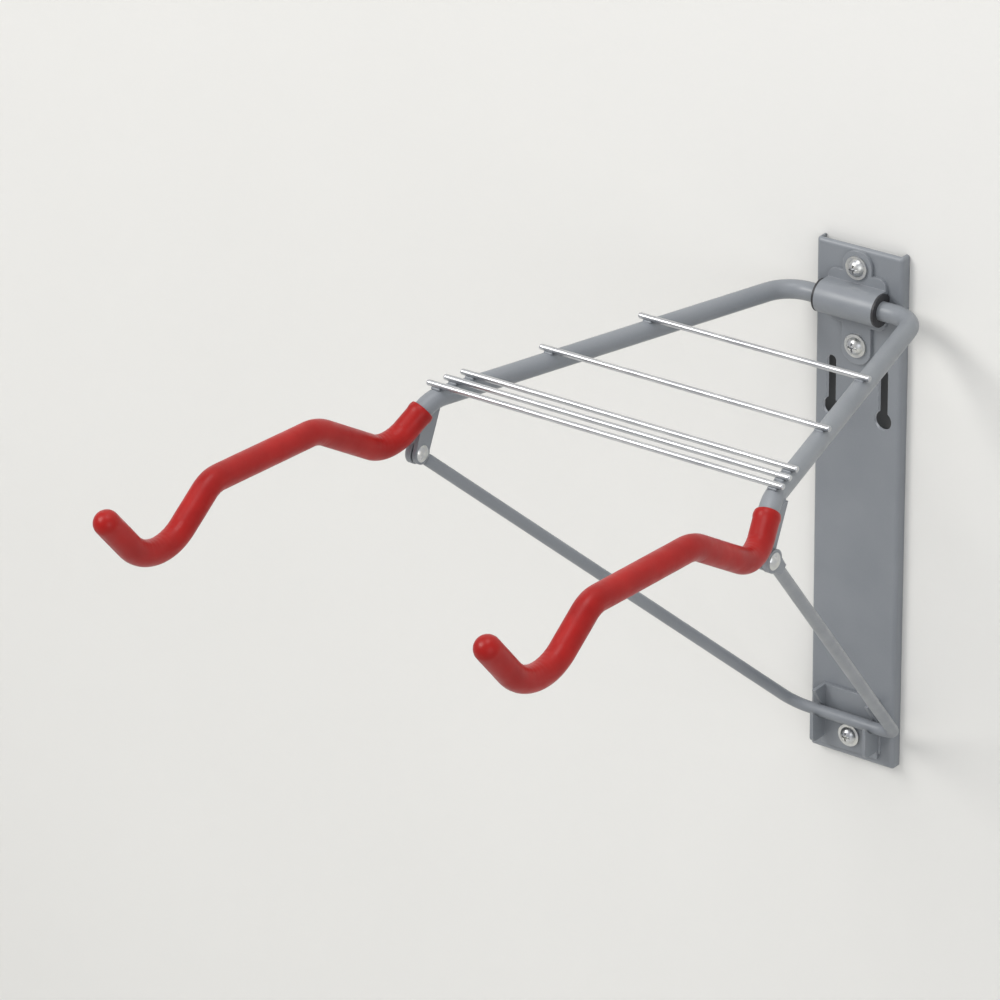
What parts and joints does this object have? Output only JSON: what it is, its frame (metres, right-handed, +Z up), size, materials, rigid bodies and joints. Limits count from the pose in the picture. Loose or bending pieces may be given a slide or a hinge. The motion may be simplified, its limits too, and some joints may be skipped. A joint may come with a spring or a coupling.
{
  "type": "bicycle wall rack",
  "caption": "Folding wall rack that holds two bicycles by their top tubes on a pair of sleeved tube arms, with shelf wires between the arms and a V-shaped brace to a narrow wall plate.",
  "frame": {"origin": "on the wall plate's back face, midway between its top and bottom wall screws", "axes": "+Z up, +X right along the wall, +Y into the wall, so the arms reach out along -Y"},
  "size_m": [0.2924, 0.6361, 0.367],
  "materials": {
    "grey_paint": "satin powder coat",
    "red_vinyl": "smooth soft vinyl",
    "bright_wire": "bright zinc-plated wire",
    "zinc": "zinc-plated",
    "bush_plastic": "matt nylon"
  },
  "bodies": {
    "wall_side": {"wall_plate": "grey_paint", "pivot_saddle": "grey_paint", "foot_bracket": "grey_paint", "wall_screws": "zinc", "wall_washers": "zinc", "pivot_bush_left": "bush_plastic", "pivot_bush_right": "bush_plastic"},
    "arms": {"arm_frame": "grey_paint", "arm_sleeve_left": "red_vinyl", "tube_plug_left": "bush_plastic", "brace_lug_left": "grey_paint", "brace_rivet_left": "zinc", "rivet_spacer_left": "bush_plastic", "arm_sleeve_right": "red_vinyl", "tube_plug_right": "bush_plastic", "brace_lug_right": "grey_paint", "brace_rivet_right": "zinc", "rivet_spacer_right": "bush_plastic", "shelf_wire_1": "bright_wire", "shelf_wire_2": "bright_wire", "shelf_wire_3": "bright_wire", "shelf_wire_4": "bright_wire", "shelf_wire_5": "bright_wire"},
    "brace": {"support_brace": "grey_paint"}
  },
  "joints": [
    {"name": "arm_fold", "type": "hinge", "parent": "wall_side", "child": "arms", "pos_m": [0, -0.017, 0.146], "axis": [-1, 0, 0], "range_deg": [0, 85]},
    {"name": "brace_fold", "type": "hinge", "parent": "arms", "child": "brace", "pos_m": [0, -0.3, 0.112], "axis": [-1, 0, 0], "range_deg": [-47, 0]}
  ],
  "couplings": [
    {"joint": "brace_fold", "follows": "arm_fold", "ratio": -0.541}
  ]
}
